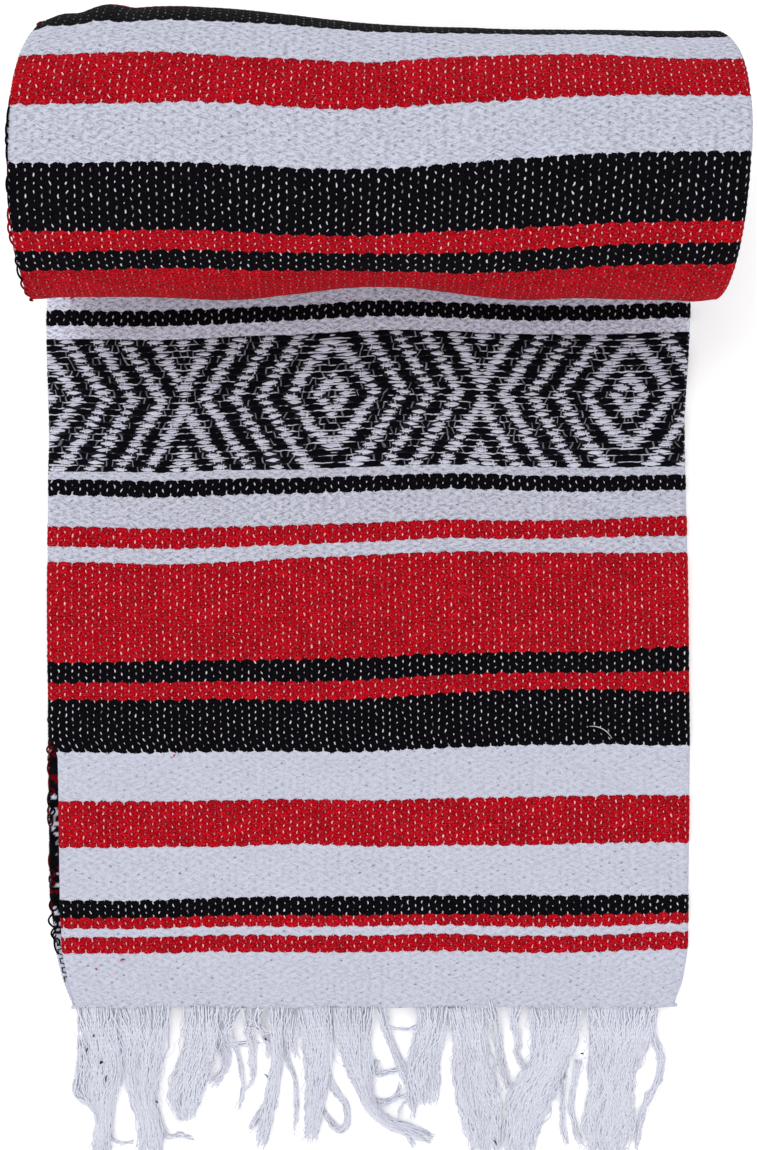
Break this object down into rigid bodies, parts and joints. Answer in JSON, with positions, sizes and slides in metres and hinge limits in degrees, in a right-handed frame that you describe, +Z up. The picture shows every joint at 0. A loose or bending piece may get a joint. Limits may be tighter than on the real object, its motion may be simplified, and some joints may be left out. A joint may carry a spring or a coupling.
{
  "type": "mexican serape blanket, folded in four and rolled",
  "caption": "Striped woven serape blanket, folded in four lengthwise and rolled from one end, with its fringed free end lying flat in front of the roll.",
  "frame": {"origin": "middle of the bounding box in plan, on the surface that the cloth rests on", "axes": "+Z up, +Y from the fringed hem towards the roll, +X along the roll, with the selvedges on the -X side"},
  "size_m": [0.3263, 0.554, 0.1196],
  "materials": {
    "white_cotton": "matte",
    "red_weft": "matte"
  },
  "bodies": {
    "root": {"free_end": "white_cotton", "roll": "red_weft", "fringe_upper": "white_cotton", "fringe_lower": "white_cotton"}
  },
  "joints": []
}
